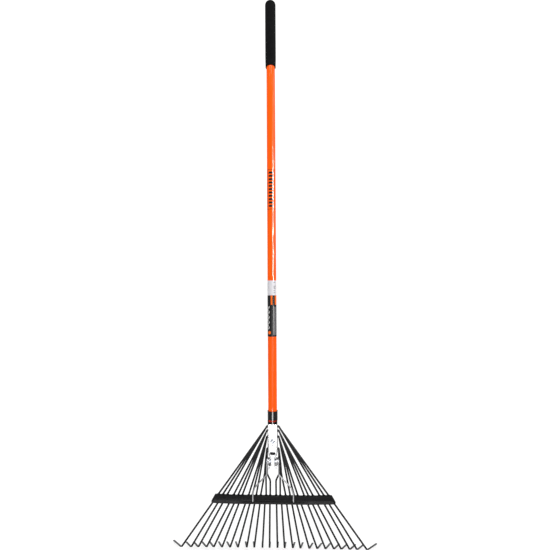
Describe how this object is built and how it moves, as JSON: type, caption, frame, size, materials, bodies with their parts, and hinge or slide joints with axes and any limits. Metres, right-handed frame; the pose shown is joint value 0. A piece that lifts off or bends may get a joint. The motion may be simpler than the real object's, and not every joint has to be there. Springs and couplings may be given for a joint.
{
  "type": "leaf rake",
  "caption": "Spring-brace leaf rake: long tubular handle with foam grip, sheet-steel shank, coil-spring brace, cross bar and fan of flat hooked spring tines.",
  "frame": {"origin": "on the handle's axis at the middle of the grip, where the rake is held", "axes": "+Z along the handle towards its closed end, +X to the right seen from the brace side, +Y the way the tine hooks point"},
  "size_m": [0.5974, 0.0778, 1.6139],
  "materials": {
    "orange_tube": "glossy pultruded fibreglass",
    "foam_grip": "matt closed-cell foam",
    "black_plastic": "gloss",
    "label_film": null,
    "sticker_paper": null,
    "zinc_sheet": "bright zinc plate",
    "zinc_rivet": "bright zinc plate",
    "zinc_wire": "zinc-plated spring wire",
    "black_enamel": "satin black enamel",
    "black_wire": "satin black enamel on spring steel"
  },
  "bodies": {
    "handle": {"handle_tube": "orange_tube", "handle_grip": "foam_grip", "handle_collar": "black_plastic", "handle_end_plug": "black_plastic", "product_label": "label_film", "price_sticker": "sticker_paper", "head_shank": "zinc_sheet", "shank_clamp_plate": "zinc_sheet", "shank_rivet": "zinc_rivet", "rivet_washer": "zinc_rivet", "brace_pin": "zinc_rivet"},
    "head": {"cross_bar": "black_enamel", "bar_clamp_strip": "black_enamel", "spring_brace_left": "zinc_wire", "spring_brace_right": "zinc_wire", "tine_left_1": "black_wire", "tine_left_2": "black_wire", "tine_left_3": "black_wire", "tine_left_4": "black_wire", "tine_left_5": "black_wire", "tine_left_6": "black_wire", "tine_left_7": "black_wire", "tine_left_8": "black_wire", "tine_left_9": "black_wire", "tine_left_10": "black_wire", "tine_left_11": "black_wire", "tine_left_12": "black_wire", "tine_right_1": "black_wire", "tine_right_2": "black_wire", "tine_right_3": "black_wire", "tine_right_4": "black_wire", "tine_right_5": "black_wire", "tine_right_6": "black_wire", "tine_right_7": "black_wire", "tine_right_8": "black_wire", "tine_right_9": "black_wire", "tine_right_10": "black_wire", "tine_right_11": "black_wire", "tine_right_12": "black_wire"}
  },
  "joints": [
    {"name": "head_flex", "type": "hinge", "parent": "handle", "child": "head", "pos_m": [0, -0.0082, -1.2545], "axis": [-1, 0, 0], "range_deg": [-3, 8], "stiffness_Nm_per_rad": 60, "deforming": ["spring_brace_left", "spring_brace_right", "tine_left_1", "tine_left_2", "tine_left_3", "tine_left_4", "tine_left_5", "tine_left_6", "tine_left_7", "tine_left_8", "tine_left_9", "tine_left_10", "tine_left_11", "tine_left_12", "tine_right_1", "tine_right_2", "tine_right_3", "tine_right_4", "tine_right_5", "tine_right_6", "tine_right_7", "tine_right_8", "tine_right_9", "tine_right_10", "tine_right_11", "tine_right_12"]}
  ]
}
